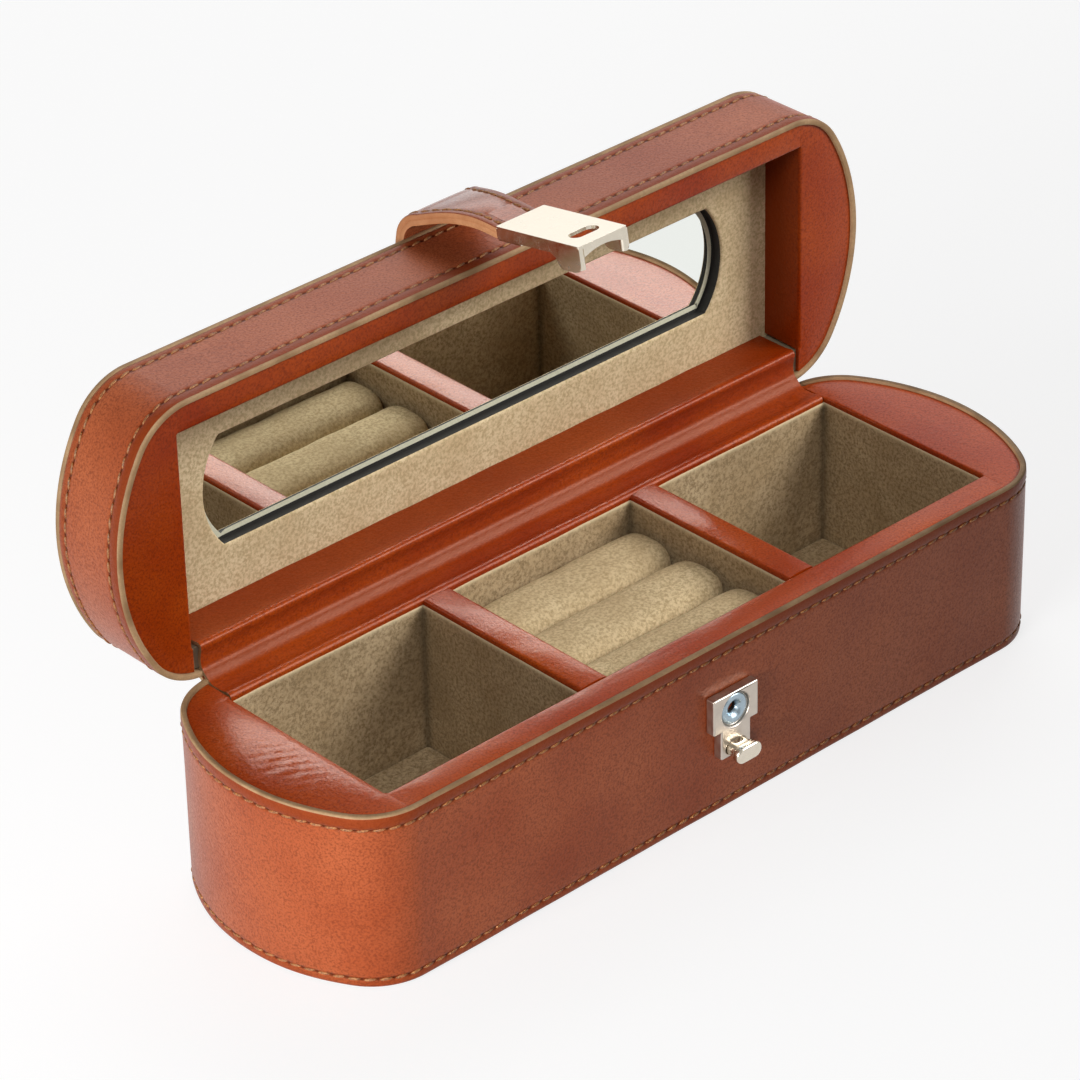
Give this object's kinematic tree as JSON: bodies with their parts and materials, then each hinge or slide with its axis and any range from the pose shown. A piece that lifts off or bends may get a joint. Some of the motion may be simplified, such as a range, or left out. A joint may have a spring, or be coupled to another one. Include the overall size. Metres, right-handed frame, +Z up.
{
  "type": "leather jewellery case",
  "caption": "Oblong leather jewellery case with rounded ends, a hinged mirror lid, a strap with a push-button clasp, suede-lined compartments and padded ring rolls.",
  "frame": {"origin": "centre of the bottom face, where the case stands", "axes": "+X along the case to the right, +Y from the clasp at the front to the hinge at the back, +Z up"},
  "size_m": [0.26, 0.1167, 0.15],
  "materials": {
    "cognac_leather": "glossy",
    "suede": "napped",
    "ring_padding": "napped",
    "board": "raw",
    "nickel": "polished",
    "zinc_steel": "zinc plated",
    "mirror": "silvered glass"
  },
  "bodies": {
    "base": {"base_bottom_leather": "cognac_leather", "base_floor_board": "board", "base_wall_leather": "cognac_leather", "base_front_board": "board", "base_rear_board": "board", "base_end_block_left": "board", "base_end_block_right": "board", "base_end_leather_left": "cognac_leather", "base_end_leather_right": "cognac_leather", "base_front_leather": "cognac_leather", "hinge_leaf_base": "cognac_leather", "divider_board_left": "board", "divider_board_right": "board", "divider_cap_left": "cognac_leather", "divider_cap_right": "cognac_leather", "lining_left": "suede", "lining_middle": "suede", "lining_right": "suede", "floor_pad_left": "suede", "floor_pad_middle": "suede", "floor_pad_right": "suede", "ring_pad_base": "ring_padding", "ring_roll_1": "ring_padding", "ring_roll_2": "ring_padding", "ring_roll_3": "ring_padding", "strike_plate": "nickel", "strike_rivet": "zinc_steel", "rivet_washer": "zinc_steel", "button_spring": "zinc_steel", "back_hinge_base": "cognac_leather", "hinge_fold": "cognac_leather", "back_hinge_fold": "cognac_leather"},
    "button": {"push_button": "nickel"},
    "lid": {"lid_top_leather": "cognac_leather", "lid_top_board": "board", "lid_wall_leather": "cognac_leather", "lid_front_board": "board", "lid_rear_board": "board", "lid_end_block_left": "board", "lid_end_block_right": "board", "lid_end_leather_left": "cognac_leather", "lid_end_leather_right": "cognac_leather", "lid_front_leather": "cognac_leather", "hinge_leaf_lid": "cognac_leather", "mirror_backing": "board", "mirror_glass": "mirror", "mirror_surround": "board", "mirror_frame": "suede", "back_hinge_lid": "cognac_leather", "strap_anchor": "cognac_leather", "strap_bend": "cognac_leather"},
    "clasp": {"strap_tab": "cognac_leather", "clasp_plate": "nickel", "clasp_back_plate": "nickel", "clasp_pins": "nickel"}
  },
  "joints": [
    {"name": "lid_hinge", "type": "hinge", "parent": "base", "child": "lid", "pos_m": [0, 0.04, 0.0513], "axis": [1, 0, 0], "range_deg": [0, 90], "deforming": ["hinge_fold", "back_hinge_fold"]},
    {"name": "strap_flex", "type": "hinge", "parent": "lid", "child": "clasp", "pos_m": [0, 0.0611, 0.1314], "axis": [-1, 0, 0], "range_deg": [-10, 70], "stiffness_Nm_per_rad": 0.2, "deforming": ["strap_bend"]},
    {"name": "button_press", "type": "slide", "parent": "base", "child": "button", "axis": [0, 1, 0], "range_m": [0, 0.002], "stiffness_N_per_m": 400, "deforming": ["button_spring"]}
  ]
}
